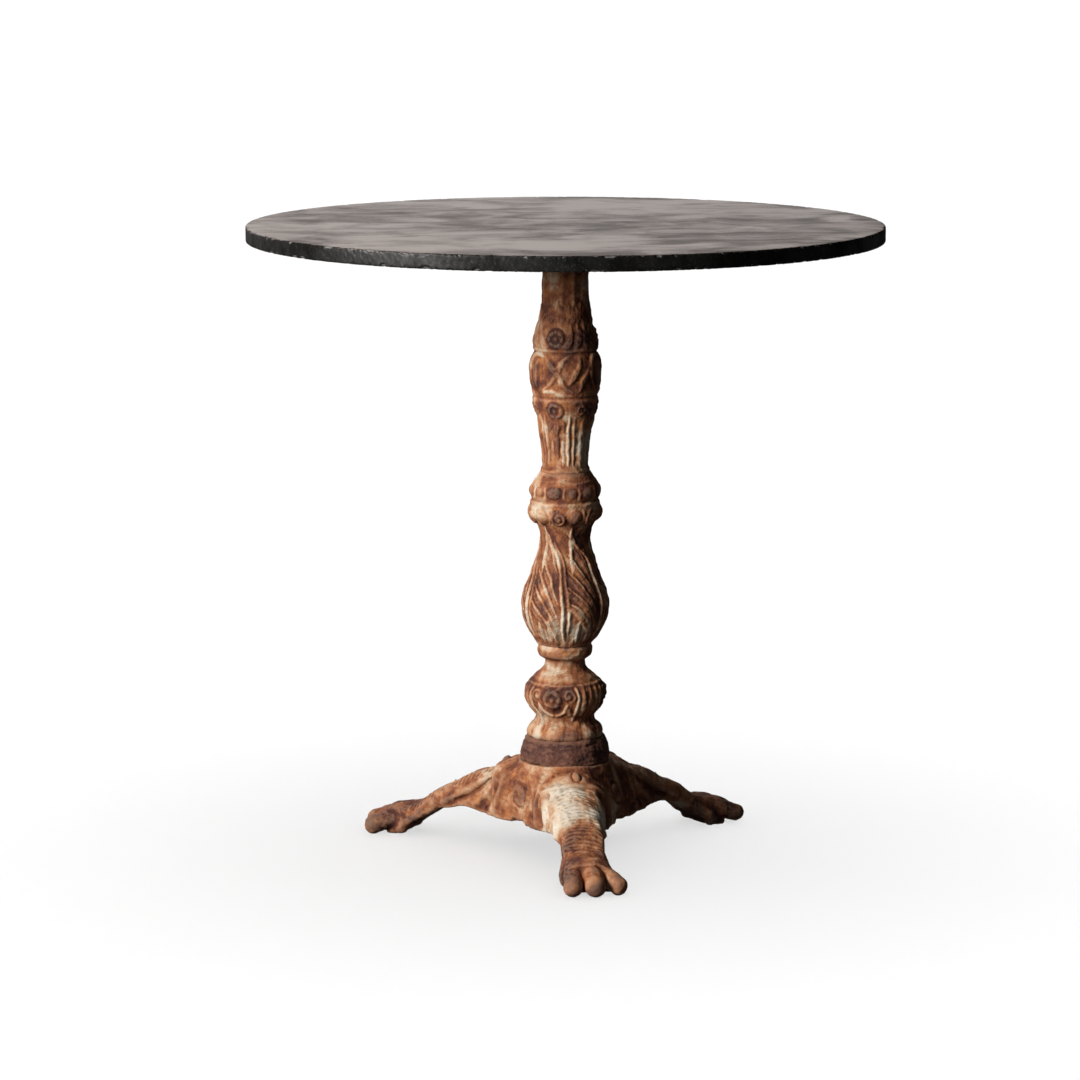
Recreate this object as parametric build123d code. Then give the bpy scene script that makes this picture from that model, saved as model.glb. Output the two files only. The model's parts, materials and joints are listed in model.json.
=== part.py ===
from build123d import *
import os

# Pedestal bistro table: a round stone top on a cast-iron spider, a column in three
# hollow castings, a collar, and a tripod base with paw feet.
# One long tie rod clamps the castings together.
# Millimetres, +Z up. The origin is on the floor, on the column's axis, and one leg
# points along -Y.

os.makedirs("parts", exist_ok=True)

# ---- driving dimensions ----
TABLE_HEIGHT = 750.0
TOP_DIAMETER = 750.0
TOP_THICKNESS = 18.0
TOP_EDGE_ROUND = 2.0
FIRST_LEG_ANGLE = -90.0  # degrees from +X
LEG_COUNT = 3

# heights at which the castings meet
BASE_TOP = 108.0
COLLAR_TOP = 138.0
VASE_TOP = 249.0
BALUSTER_TOP = 457.0
SHAFT_TOP = 700.0

# registers that centre one casting on the next
REGISTER_RADIUS = 21.0
REGISTER_DEPTH = 6.0
COLLAR_BORE = 37.0
COLLAR_REGISTER_DEPTH = 10.0
REGISTER_CLEARANCE = 0.2
CORE_RADIUS = 17.0  # the hollow left by the sand core at the column's slim places

# tie rod, M12
ROD_RADIUS = 6.0
ROD_HOLE_RADIUS = 6.5
ROD_BELOW_NUT = 6.0
ROD_ABOVE_NUT = 2.0
NUT_ACROSS_FLATS = 19.0
NUT_HEIGHT = 10.0
ROD_WASHER_RADIUS = 12.0
ROD_WASHER_THICKNESS = 2.5
THREAD_CLEARANCE = 0.05

# spider under the top
PAD_THICKNESS = 3.0
SPIDER_HUB_RADIUS = 30.0
SPIDER_COUNTERBORE_RADIUS = 15.0
SPIDER_COUNTERBORE_DEPTH = 16.0
SPIDER_REACH = 140.0
SPIDER_PAD_RADIUS = 17.0
SPIDER_TIP_DEPTH = 10.0
SPIDER_ROOT_DEPTH = 23.0
SPIDER_ROOT_WIDTH = 34.0
SPIDER_TIP_WIDTH = 22.0

# fixing of the stone, M8
SCREW_RADIUS = 4.0
SCREW_HOLE_RADIUS = 4.5
SCREW_HEAD_ACROSS_FLATS = 13.0
SCREW_HEAD_HEIGHT = 5.3
SCREW_WASHER_RADIUS = 8.5
SCREW_WASHER_THICKNESS = 1.6
SCREW_BITE = 10.0  # how far the thread reaches into the insert
INSERT_RADIUS = 6.5
INSERT_LENGTH = 12.0

# tripod base
BOSS_RADIUS = COLLAR_BORE - REGISTER_CLEARANCE
BOSS_BOTTOM = 88.0
SEAT_RADIUS = 56.0
SKIRT_RADIUS = 69.0
SKIRT_BOTTOM = 43.0
DOME_WALL = 7.0

# ---- heights worked out from the ones above ----
STONE_BOTTOM = TABLE_HEIGHT - TOP_THICKNESS
SPIDER_TOP = STONE_BOTTOM - PAD_THICKNESS
HUB_WEB_TOP = SPIDER_TOP - SPIDER_COUNTERBORE_DEPTH
SPIDER_PAD_BOTTOM = SPIDER_TOP - SPIDER_TIP_DEPTH
ROD_TOP = HUB_WEB_TOP + ROD_WASHER_THICKNESS + NUT_HEIGHT + ROD_ABOVE_NUT
ROD_BOTTOM = BOSS_BOTTOM - ROD_WASHER_THICKNESS - NUT_HEIGHT - ROD_BELOW_NUT

# Outline of each casting as (radius, height), from its bottom to its top.
VASE_OUTLINE = [
    (45.0, COLLAR_TOP),
    (45.0, 144.0),
    (35.5, 160.0),
    (48.5, 191.0),
    (36.0, 212.0),
    (24.5, 225.0),
    (26.0, 233.0),
]
VASE_RING_RADIUS = 32.8
BALUSTER_OUTLINE = [
    (31.0, VASE_TOP),
    (36.0, 256.0),
    (51.5, 298.0),
    (29.5, 373.0),
    (38.0, 398.0),
    (45.0, 411.0),
    (42.0, 424.0),
    (42.0, 434.0),
    (31.0, 455.0),
    (30.0, BALUSTER_TOP),
]
BALUSTER_CORE = [
    (CORE_RADIUS, VASE_TOP),
    (38.0, 298.0),
    (CORE_RADIUS, 355.0),
]
COLLAR_OUTLINE = [
    (49.0, COLLAR_TOP),
    (52.5, 128.0),
    (54.0, 116.0),
    (52.0, BASE_TOP),
]
SHAFT_OUTLINE = [
    (28.0, BALUSTER_TOP),
    (27.5, 480.0),
    (31.5, 509.0),
    (38.0, 540.0),
    (42.5, 580.0),
    (39.0, 608.0),
    (31.5, 642.0),
    (28.0, 664.0),
    (28.0, SHAFT_TOP),
]
# Leg sections: distance from the axis, width, bottom and top.
LEG_SECTIONS = [
    (35.0, 88.0, 44.0, 103.0),
    (55.0, 91.0, 42.0, 102.0),
    (75.0, 80.0, 41.0, 94.0),
    (100.0, 65.0, 41.0, 87.0),
    (125.0, 56.0, 41.0, 77.0),
    (145.0, 51.0, 37.0, 66.0),
    (168.0, 49.0, 29.0, 54.0),
    (186.0, 50.0, 14.0, 41.0),
    (204.0, 58.0, -1.0, 37.0),
    (226.0, 62.0, -1.0, 35.0),
]
LEG_CORNER_SHARE = 0.38  # corner radius over the section's smaller side
# Toes: where the middle of the toe is (out, sideways), its direction from the leg's,
# its length, its width and its height above the floor. The three legs are alike, so
# the widest-set toe is on the same side of each paw.
TOES = [
    (231.0, -19.0, -5.0, 54.0, 23.0, 15.0),
    (232.0, 4.0, 1.0, 60.0, 29.0, 16.0),
    (225.0, 26.0, 18.0, 54.0, 25.0, 14.0),
]


def leg_angles():
    return [FIRST_LEG_ANGLE + i * 360.0 / LEG_COUNT for i in range(LEG_COUNT)]


def ring(outer, inner, bottom, top):
    """A plain ring, or a disc if inner is 0, between two heights."""
    solid = Pos(0, 0, bottom) * Cylinder(
        outer, top - bottom, align=(Align.CENTER, Align.CENTER, Align.MIN)
    )
    if inner:
        solid -= bore(inner, bottom, top)
    return solid


def bore(radius, bottom, top):
    """A cutter that runs a little past both heights."""
    past = 1.0
    return Pos(0, 0, bottom - past) * Cylinder(
        radius, top - bottom + 2 * past, align=(Align.CENTER, Align.CENTER, Align.MIN)
    )


def blind_bore(radius, bottom, top):
    """A cutter that ends exactly at top and starts exactly at bottom."""
    return Pos(0, 0, bottom) * Cylinder(
        radius, top - bottom, align=(Align.CENTER, Align.CENTER, Align.MIN)
    )


def turned(outline):
    """A solid turned about Z whose wall is a smooth curve through the outline."""
    wall = Spline(*[(r, 0, z) for r, z in outline])
    first_r, first_z = outline[0]
    last_r, last_z = outline[-1]
    closing = Polyline(
        (last_r, 0, last_z), (0, 0, last_z), (0, 0, first_z), (first_r, 0, first_z)
    )
    face = make_face(Wire([wall, *closing.edges()]))
    return revolve(face, Axis.Z, 360)


def hexagon(across_flats, bottom, height):
    sketch = RegularPolygon(across_flats / 2, 6, major_radius=False)
    return extrude(Pos(0, 0, bottom) * sketch, height)


def at_spider_tips(shape):
    """One copy of a shape, modelled on the Z axis, at each spider arm's tip."""
    copies = []
    for angle in leg_angles():
        copies.append(Rot(0, 0, angle) * Pos(SPIDER_REACH, 0, 0) * shape)
    return copies


def write(node, *solids):
    shape = solids[0] if len(solids) == 1 else Compound(children=list(solids))
    export_step(shape, f"parts/{node}.step")


# ---- stone top ----
def table_top():
    stone = ring(TOP_DIAMETER / 2, 0, STONE_BOTTOM, TABLE_HEIGHT)
    stone = fillet(stone.edges(), TOP_EDGE_ROUND)
    pocket = blind_bore(INSERT_RADIUS, STONE_BOTTOM - 1, STONE_BOTTOM + INSERT_LENGTH)
    for cutter in at_spider_tips(pocket):
        stone -= cutter
    return stone


def top_insert():
    """Threaded brass bush glued into the stone, blind at its upper end."""
    body = ring(INSERT_RADIUS, 0, STONE_BOTTOM, STONE_BOTTOM + INSERT_LENGTH)
    thread = blind_bore(
        SCREW_RADIUS + THREAD_CLEARANCE,
        STONE_BOTTOM - 1,
        STONE_BOTTOM + SCREW_BITE + 0.5,
    )
    return body - thread


def top_pad():
    return ring(SPIDER_PAD_RADIUS, SCREW_HOLE_RADIUS, SPIDER_TOP, STONE_BOTTOM)


def top_screw():
    washer_bottom = SPIDER_PAD_BOTTOM - SCREW_WASHER_THICKNESS
    shank = ring(SCREW_RADIUS, 0, washer_bottom, STONE_BOTTOM + SCREW_BITE)
    head = hexagon(
        SCREW_HEAD_ACROSS_FLATS, washer_bottom - SCREW_HEAD_HEIGHT, SCREW_HEAD_HEIGHT
    )
    return shank + head


def top_screw_washer():
    return ring(
        SCREW_WASHER_RADIUS,
        SCREW_HOLE_RADIUS,
        SPIDER_PAD_BOTTOM - SCREW_WASHER_THICKNESS,
        SPIDER_PAD_BOTTOM,
    )


# ---- spider ----
def spider_arm():
    """Tapered arm along +X, flat on top and deepest at the hub."""

    def section(x, width, depth):
        plane = Plane((x, 0, SPIDER_TOP - depth / 2), x_dir=(0, 1, 0), z_dir=(1, 0, 0))
        return plane * RectangleRounded(width, depth, 3.0)

    arm = loft(
        [
            section(10.0, SPIDER_ROOT_WIDTH, SPIDER_ROOT_DEPTH),
            section(SPIDER_REACH, SPIDER_TIP_WIDTH, SPIDER_TIP_DEPTH),
        ]
    )
    pad = ring(SPIDER_PAD_RADIUS, 0, SPIDER_PAD_BOTTOM, SPIDER_TOP)
    return arm + Pos(SPIDER_REACH, 0, 0) * pad


def top_spider():
    hub = ring(SPIDER_HUB_RADIUS, 0, SHAFT_TOP, SPIDER_TOP)
    register = ring(
        REGISTER_RADIUS - REGISTER_CLEARANCE,
        0,
        SHAFT_TOP - REGISTER_DEPTH + 0.5,
        SHAFT_TOP,
    )
    body = hub + register
    for angle in leg_angles():
        body += Rot(0, 0, angle) * spider_arm()
    body -= bore(ROD_HOLE_RADIUS, SHAFT_TOP - REGISTER_DEPTH, SPIDER_TOP)
    body -= blind_bore(SPIDER_COUNTERBORE_RADIUS, HUB_WEB_TOP, SPIDER_TOP + 1)
    hole = bore(SCREW_HOLE_RADIUS, SPIDER_PAD_BOTTOM, SPIDER_TOP)
    spot_face = blind_bore(
        SCREW_WASHER_RADIUS + 1.5, SPIDER_PAD_BOTTOM - 5, SPIDER_PAD_BOTTOM
    )
    for cutter in at_spider_tips(hole + spot_face):
        body -= cutter
    return body


# ---- column ----
def register_below(at_height):
    """The short tube under a casting that enters the one below."""
    return ring(
        REGISTER_RADIUS - REGISTER_CLEARANCE,
        CORE_RADIUS,
        at_height - REGISTER_DEPTH + 0.5,
        at_height,
    )


def register_socket(at_height):
    return blind_bore(REGISTER_RADIUS, at_height - REGISTER_DEPTH, at_height + 1)


def column_shaft():
    body = turned(SHAFT_OUTLINE)
    body -= bore(CORE_RADIUS, BALUSTER_TOP, SHAFT_TOP)
    body -= register_socket(SHAFT_TOP)
    return body + register_below(BALUSTER_TOP)


def column_baluster():
    body = turned(BALUSTER_OUTLINE)
    core = turned(BALUSTER_CORE)
    body -= bore(CORE_RADIUS, VASE_TOP, BALUSTER_TOP)
    body -= core
    body -= register_socket(BALUSTER_TOP)
    return body + register_below(VASE_TOP)


def column_vase():
    """The low vase with its neck ring. It stands in the collar on a short tube."""
    neck_ring_bottom = VASE_OUTLINE[-1][1]
    neck_ring = ring(VASE_RING_RADIUS, 0, neck_ring_bottom, VASE_TOP)
    neck_ring = fillet(neck_ring.edges().group_by(Axis.Z)[0], 5.0)
    tube = ring(
        BOSS_RADIUS,
        0,
        COLLAR_TOP - COLLAR_REGISTER_DEPTH,
        COLLAR_TOP,
    )
    body = turned(VASE_OUTLINE) + neck_ring + tube
    core = CORE_RADIUS - 1.0
    body -= bore(core, COLLAR_TOP - COLLAR_REGISTER_DEPTH, VASE_TOP)
    return body - register_socket(VASE_TOP)


def base_collar():
    outline = sorted(COLLAR_OUTLINE, key=lambda point: point[1])
    return turned(outline) - bore(COLLAR_BORE, BASE_TOP, COLLAR_TOP)


# ---- tripod base ----
def bell(seat_radius, skirt_radius, top, bottom):
    """A solid bell that bulges a little and ends in a steep skirt."""
    waist = ((seat_radius + skirt_radius) / 2 + 3, (top + bottom) / 2 + 8)
    side = Spline((seat_radius, 0, top), (waist[0], 0, waist[1]), (skirt_radius, 0, bottom))
    rest = Polyline(
        (skirt_radius, 0, bottom), (0, 0, bottom), (0, 0, top), (seat_radius, 0, top)
    )
    return revolve(make_face(Wire([side, *rest.edges()])), Axis.Z, 360)


def dome_hollow():
    below = 4.0
    inside = bell(
        SEAT_RADIUS - 2 * DOME_WALL, SKIRT_RADIUS - DOME_WALL, BOSS_BOTTOM, SKIRT_BOTTOM
    )
    return inside + ring(SKIRT_RADIUS - DOME_WALL, 0, SKIRT_BOTTOM - below, SKIRT_BOTTOM)


def leg_section(out, width, bottom, top):
    plane = Plane((out, 0, (bottom + top) / 2), x_dir=(0, 1, 0), z_dir=(1, 0, 0))
    corner = LEG_CORNER_SHARE * min(width, top - bottom)
    return plane * RectangleRounded(width, top - bottom, corner)


def toe(out, sideways, turn, length, width, height):
    """An egg-shaped toe lying on the floor, flat underneath."""
    half = length / 2
    arc = EllipticalCenterArc((0, 0), half, width / 2, arc_size=180)
    face = make_face(Wire([arc, Line((-half, 0), (half, 0))]))
    egg = revolve(face, Axis.X, 360)
    droop = 10.0  # degrees by which the toe's tip is lower than its root
    egg = Rot(0, droop, 0) * egg
    return Pos(out, sideways, height) * Rot(0, 0, turn) * egg


def leg():
    """One leg along +X: a flat, drooping shank that ends in a paw with three toes."""
    shank = loft([leg_section(*section) for section in LEG_SECTIONS])
    body = shank
    for one in TOES:
        body += toe(*one)
    under_floor = Pos(200, 0, -50) * Box(200, 200, 100)
    return body - under_floor


def tripod_base():
    body = bell(SEAT_RADIUS, SKIRT_RADIUS, BASE_TOP, SKIRT_BOTTOM)
    one_leg = leg()
    for angle in leg_angles():
        body += Rot(0, 0, angle) * one_leg
    body -= dome_hollow()
    body += ring(BOSS_RADIUS, 0, BOSS_BOTTOM, BASE_TOP + COLLAR_REGISTER_DEPTH)
    return body - bore(ROD_HOLE_RADIUS, BOSS_BOTTOM, BASE_TOP + COLLAR_REGISTER_DEPTH)


# ---- tie rod and its fastenings ----
def tie_rod():
    rod = ring(ROD_RADIUS, 0, ROD_BOTTOM, ROD_TOP)
    return chamfer(rod.edges().group_by(Axis.Z)[0] + rod.edges().group_by(Axis.Z)[-1], 1.0)


def rod_nut(bottom):
    hole = bore(ROD_RADIUS + THREAD_CLEARANCE, bottom, bottom + NUT_HEIGHT)
    return hexagon(NUT_ACROSS_FLATS, bottom, NUT_HEIGHT) - hole


def rod_washer(bottom):
    return ring(
        ROD_WASHER_RADIUS, ROD_HOLE_RADIUS, bottom, bottom + ROD_WASHER_THICKNESS
    )


write("table_top", table_top())
write("top_inserts", *at_spider_tips(top_insert()))
write("top_pads", *at_spider_tips(top_pad()))
write("top_screws", *at_spider_tips(top_screw()))
write("top_screw_washers", *at_spider_tips(top_screw_washer()))
write("top_spider", top_spider())
write("column_shaft", column_shaft())
write("column_baluster", column_baluster())
write("column_vase", column_vase())
write("base_collar", base_collar())
write("tripod_base", tripod_base())
write("tie_rod", tie_rod())
write("tie_rod_top_washer", rod_washer(HUB_WEB_TOP))
write("tie_rod_top_nut", rod_nut(HUB_WEB_TOP + ROD_WASHER_THICKNESS))
write("tie_rod_bottom_washer", rod_washer(BOSS_BOTTOM - ROD_WASHER_THICKNESS))
write("tie_rod_bottom_nut", rod_nut(BOSS_BOTTOM - ROD_WASHER_THICKNESS - NUT_HEIGHT))
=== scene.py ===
import json
import math

import bmesh
import bpy
import numpy as np
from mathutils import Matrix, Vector

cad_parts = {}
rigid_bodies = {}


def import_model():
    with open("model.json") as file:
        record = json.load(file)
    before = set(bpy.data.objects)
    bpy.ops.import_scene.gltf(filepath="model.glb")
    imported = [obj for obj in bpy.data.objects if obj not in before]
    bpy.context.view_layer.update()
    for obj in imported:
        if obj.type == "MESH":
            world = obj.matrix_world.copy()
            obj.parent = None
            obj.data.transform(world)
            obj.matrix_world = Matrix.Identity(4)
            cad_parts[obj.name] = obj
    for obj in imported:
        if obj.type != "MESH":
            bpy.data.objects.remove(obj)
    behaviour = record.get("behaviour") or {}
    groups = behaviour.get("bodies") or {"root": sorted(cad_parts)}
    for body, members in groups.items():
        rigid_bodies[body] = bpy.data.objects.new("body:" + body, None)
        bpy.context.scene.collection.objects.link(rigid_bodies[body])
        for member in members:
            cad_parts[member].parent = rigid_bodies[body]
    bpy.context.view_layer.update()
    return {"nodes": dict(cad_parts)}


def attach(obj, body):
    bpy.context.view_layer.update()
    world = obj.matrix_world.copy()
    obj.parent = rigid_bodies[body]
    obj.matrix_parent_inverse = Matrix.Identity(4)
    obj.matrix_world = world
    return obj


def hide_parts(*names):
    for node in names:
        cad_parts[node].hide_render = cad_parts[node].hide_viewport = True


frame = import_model()

# Meshes are made in millimetres, in the frame of the CAD model, and stored in metres.
MM = 0.001
STONE_RADIUS = 375.0
STONE_TOP = 750.0
STONE_THICKNESS = 18.0
ROUND_OFF = 1.8  # radius of the stone's eased edges
POCKET_RADIUS = 6.6  # blind holes for the threaded inserts
POCKET_DEPTH = 12.0
POCKET_REACH = 140.0
ARM_ANGLES = (30.0, 150.0, 270.0)
FACE_ANGLE = -116.0  # degrees: the middle of one of the column's three faces
FRONT_LEG_ANGLE = -90.0
LEG_COUNT = 3
BORE = 17.0  # radius of the column castings' bores
REGISTER = 20.8  # radius of the sockets that centre one casting on the next


# ---------------------------------------------------------------- lines and noise
def smooth_line(points, count):
    """A smooth curve through the points, as `count` points evenly spaced along it."""
    points = np.asarray(points, float)
    ends = (2 * points[0] - points[1], 2 * points[-1] - points[-2])
    padded = np.vstack([ends[0], points, ends[1]])
    t = np.linspace(0, 1, 12, endpoint=False)[:, None]
    runs = []
    for a, b, c, d in zip(padded, padded[1:], padded[2:], padded[3:]):
        # The tangents are shortened on the side of a short run, so that no loop forms.
        before, here, after = (max(np.linalg.norm(q - p), 1e-9) for p, q in ((a, b), (b, c), (c, d)))
        start = here * ((b - a) / before * here + (c - b) / here * before) / (before + here)
        stop = here * ((c - b) / here * after + (d - c) / after * here) / (here + after)
        t2, t3 = t * t, t * t * t
        runs.append(
            (2 * t3 - 3 * t2 + 1) * b + (t3 - 2 * t2 + t) * start
            + (3 * t2 - 2 * t3) * c + (t3 - t2) * stop
        )
    fine = np.vstack([*runs, points[-1:]])
    gone = np.concatenate([[0], np.cumsum(np.linalg.norm(np.diff(fine, axis=0), axis=1))])
    at = np.linspace(0, gone[-1], count)
    return np.stack([np.interp(at, gone, fine[:, i]) for i in range(fine.shape[1])], 1)


def table(points):
    """A function that follows a smooth curve through (x, value) points."""
    line = smooth_line(points, 400)
    return lambda x: np.interp(x, line[:, 0], line[:, 1])


def ease(x, low, high):
    """0 below low, 1 above high and smooth between them. Low may be the larger."""
    t = np.clip((x - low) / (high - low), 0, 1)
    return t * t * (3 - 2 * t)


def ripple(points, size, seed, octaves=3):
    """Smooth noise, mostly between -1 and 1, with lumps about `size` across."""
    rng = np.random.default_rng(seed)
    shape = points.shape[:-1]
    flat = points.reshape(-1, 3)
    total = np.zeros(len(flat))
    strength, full = 1.0, 0.0
    for _ in range(octaves):
        for _ in range(7):
            way = rng.normal(size=3)
            way *= 2 * math.pi / size * rng.uniform(0.7, 1.4) / np.linalg.norm(way)
            total += strength * np.sin(flat @ way + rng.uniform(0, 2 * math.pi))
        full += strength
        strength *= 0.55
        size *= 0.5
    return (total / (full * 1.7)).reshape(shape)


# ---------------------------------------------------------------- meshes
def new_mesh(name, points, faces):
    mesh = bpy.data.meshes.new(name)
    mesh.from_pydata((np.asarray(points) * MM).tolist(), [], np.asarray(faces).tolist())
    mesh.shade_smooth()
    return mesh


def vertex_array(mesh, what="co"):
    values = np.zeros(len(mesh.vertices) * 3, np.float32)
    mesh.vertices.foreach_get(what, values)
    return values.reshape(-1, 3).astype(float)


def add_attribute(mesh, name, values):
    layer = mesh.attributes.new(name, "FLOAT", "POINT")
    layer.data.foreach_set("value", np.asarray(values, np.float32).ravel())


def add_ridge(mesh):
    """Stores how far each point stands out of its surroundings: 1 on a crest, -1 in a crease."""
    edges = np.zeros(len(mesh.edges) * 2, np.int32)
    mesh.edges.foreach_get("vertices", edges)
    a, b = edges.reshape(-1, 2).T
    count = len(mesh.vertices)
    places = vertex_array(mesh) / MM
    normals = vertex_array(mesh, "normal")
    shares = np.bincount(a, minlength=count) + np.bincount(b, minlength=count)
    smooth = places.copy()
    total = np.zeros(count)
    for turn in range(36):
        gathered = [
            np.bincount(a, smooth[b, i], count) + np.bincount(b, smooth[a, i], count)
            for i in range(3)
        ]
        smooth = 0.3 * smooth + 0.7 * np.stack(gathered, 1) / shares[:, None]
        if turn == 5:
            total += ((places - smooth) * normals).sum(1) / 0.45
    total += ((places - smooth) * normals).sum(1) / 1.1
    add_attribute(mesh, "ridge", np.tanh(total))


def add_piece(name, mesh, material, slot, *nodes):
    piece = bpy.data.objects.new(name, mesh)
    bpy.context.scene.collection.objects.link(piece)
    mesh.materials.append(material)
    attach(piece, "root")
    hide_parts(*nodes)


# ---------------------------------------------------------------- relief on turned castings
class Relief:
    """Relief on a turned wall, on a grid of profile points by angles, in millimetres.

    A place on it is given as degrees from the middle of the nearest face, and height.
    """

    WANDER = 0.8  # how far repeats stray, so that they don't look stamped
    BLEND = 0.5  # width of the fillet where one feature meets another
    GRAIN = 0.22  # height of the sand-cast grain

    def __init__(self, profile, rows, columns, faces, seed, turn=FACE_ANGLE):
        line = smooth_line(profile, rows)
        way = np.gradient(line, axis=0)
        way /= np.linalg.norm(way, axis=1)[:, None]
        self.radius = np.repeat(line[:, :1], columns, 1)
        self.level = np.repeat(line[:, 1:], columns, 1)
        self.outward = np.repeat(way[:, 1:], columns, 1)
        self.upward = np.repeat(-way[:, :1], columns, 1)
        self.angle = np.repeat(np.arange(columns)[None, :] * 2 * math.pi / columns, rows, 0)
        self.lift = np.zeros((rows, columns))
        self.rust = np.zeros((rows, columns))
        self.places = self.points(self.lift)
        self.step = 360.0 / faces
        turned = np.degrees(self.angle) - turn
        turned += np.degrees(self.WANDER * ripple(self.places, 45, seed) / self.radius)
        self.side = (turned + self.step / 2) % self.step - self.step / 2
        self.height = self.level + self.WANDER * ripple(self.places, 40, seed + 1)

    def points(self, lift):
        out = self.radius + lift * self.outward
        return np.stack(
            [out * np.cos(self.angle), out * np.sin(self.angle), self.level + lift * self.upward], -1
        )

    def across(self, degrees, mirror):
        """Millimetres round the wall from a line of constant angle."""
        return np.radians(self.turned(degrees, mirror) - degrees) * self.radius

    def turned(self, degrees, mirror):
        """Degrees from the face's middle, unwrapped round the angle that is asked about."""
        if mirror:
            return np.abs(self.side)
        return (self.side - degrees + self.step / 2) % self.step - self.step / 2 + degrees

    def near(self, line, mirror, reach):
        """Share of the way along a line, and distance from it, for the grid points near it."""
        line = smooth_line(line, 22)
        low, high = line.min(0), line.max(0)
        side = self.turned((low[0] + high[0]) / 2, mirror)
        pad = np.degrees(reach / self.radius)
        here = (side > low[0] - pad) & (side < high[0] + pad)
        here &= (self.height > low[1] - reach) & (self.height < high[1] + reach)
        side, height, radius = side[here], self.height[here], self.radius[here]
        best, share = np.full(side.shape, 1e9), np.zeros(side.shape)
        for i, (a, b) in enumerate(zip(line, line[1:])):
            x, y = np.radians(side - a[0]) * radius, height - a[1]
            run, rise = np.radians(b[0] - a[0]) * radius, b[1] - a[1]
            t = np.clip((x * run + y * rise) / (run**2 + rise**2), 0, 1)
            gap = (x - t * run) ** 2 + (y - t * rise) ** 2
            closer = gap < best
            best[closer] = gap[closer]
            share[closer] = (i + t[closer]) / (len(line) - 1)
        return here, share, np.sqrt(best)

    def raise_to(self, here, body, rust):
        """Blends a feature in over what is there already, and gives it its share of rust."""
        old = self.lift[here]
        share = np.clip(0.5 + 0.5 * (body - old) / self.BLEND, 0, 1)
        blended = old + (body - old) * share + self.BLEND * share * (1 - share)
        self.lift[here] = np.where(body > 0, blended, old)
        self.rust[here] = np.where(body > 0, rust, self.rust[here])

    def stain(self, line, width, rust, mirror=True):
        """Colours a band along a line without shaping it."""
        here, _, gap = self.near(line, mirror, 1.6 * width)
        share = ease(gap, 1.6 * width, 0.4 * width)
        self.rust[here] += (rust - self.rust[here]) * share

    def rib(self, line, width, height, start=0.15, stop=0.5, mirror=True, rust=0.0):
        """A rounded ridge along a line, with tapering ends. Width is its half-width."""
        here, share, gap = self.near(line, mirror, width)
        taper = np.sqrt(np.clip(share / start, 0.05, 1) * np.clip((1 - share) / stop, 0.02, 1))
        body = np.clip(1 - (gap / (width * taper)) ** 2, 0, 1) ** 0.75
        self.raise_to(here, height * taper * body, rust)

    def leaf(self, line, width, height, veins=6, mirror=True, rust=0.0):
        """A pointed leaf along a line, hollow along its midrib, with slanting veins."""
        here, share, gap = self.near(line, mirror, width)
        broad = width * np.sqrt(np.clip(share / 0.3, 0.1, 1)) * np.clip((1 - share) / 0.55, 0, 1) ** 0.7
        off = gap / np.maximum(broad, 0.05)
        body = np.clip(1 - off**2, 0, 1) ** 0.7 * height * (0.75 + 0.25 * np.minimum(broad / width, 1))
        body -= 0.28 * height * np.exp(-((gap / 1.1) ** 2)) * (off < 1)
        body += 0.15 * height * np.cos(2 * math.pi * (share * veins - 0.7 * off)) * off * (off < 1)
        self.raise_to(here, np.where(off < 1, body, 0), rust)

    def boss(self, degrees, level, wide, high, height, mirror=True, rust=0.0):
        """An oval knob."""
        across = self.across(degrees, mirror)
        off = np.hypot(across / wide, (self.height - level) / high)
        here = off < 1.0
        self.raise_to(here, height * (1 - off[here] ** 2) ** 0.65, rust)

    def rosette(self, degrees, level, size, height, petals, mirror=True, rust=0.0):
        """A round flower: an eye with petals round it."""
        x, y = self.across(degrees, mirror), self.height - level
        off = np.hypot(x, y) / size
        here = off < 1.0
        off, angle = off[here], np.arctan2(y[here], x[here])
        petal = 0.5 + 0.5 * np.abs(np.cos(angle * petals / 2)) ** 0.8
        ring = np.exp(-(((off - 0.62) / 0.24) ** 2)) * petal
        body = height * np.maximum(ring, 0.95 * np.clip(1 - (off / 0.26) ** 2, 0, 1) ** 0.6)
        self.raise_to(here, body * ease(off, 1.0, 0.85), rust)

    def volute(self, degrees, level, size, turns, width, height, start, mirror=True, rust=0.0):
        """A spiral that winds in to a small knob. Start is its first angle in degrees."""
        share = np.linspace(0, 1, 40)
        reach = size * (1 - 0.78 * share)
        angle = math.radians(start) + 2 * math.pi * turns * share
        x = self.across(degrees, mirror)
        y = self.height - level
        here = np.hypot(x, y) < size + width
        x, y = x[here], y[here]
        best, along = np.full(x.shape, 1e9), np.zeros(x.shape)
        for t, r, a in zip(share, reach, angle):
            gap = np.hypot(x - r * math.cos(a), y - r * math.sin(a))
            closer = gap < best
            best[closer], along[closer] = gap[closer], t
        slim = width * (1 - 0.35 * along)
        body = height * np.clip(1 - (best / slim) ** 2, 0, 1) ** 0.75 * np.clip(along / 0.1, 0.3, 1)
        eye = np.clip(1 - (np.hypot(x, y) / (0.3 * size)) ** 2, 0, 1) ** 0.6
        self.raise_to(here, np.maximum(body, 1.15 * height * eye), rust)

    def flutes(self, count, depth, low, high, soft=4.0):
        """Rounded flutes with crests between them, from one height to another."""
        wave = np.abs(np.cos(self.angle * count / 2))
        here = ease(self.height, low, low + soft) * ease(self.height, high, high - soft)
        self.lift += depth * here * (0.6 - wave)

    def ring(self, level, width, height):
        """A raised ring, or a groove if height is negative."""
        self.lift += height * np.exp(-(((self.height - level) / width) ** 2))

    def finish(self, name, inner, seed):
        """The closed mesh: this wall, and the inner rings from its top back to its bottom."""
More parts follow.
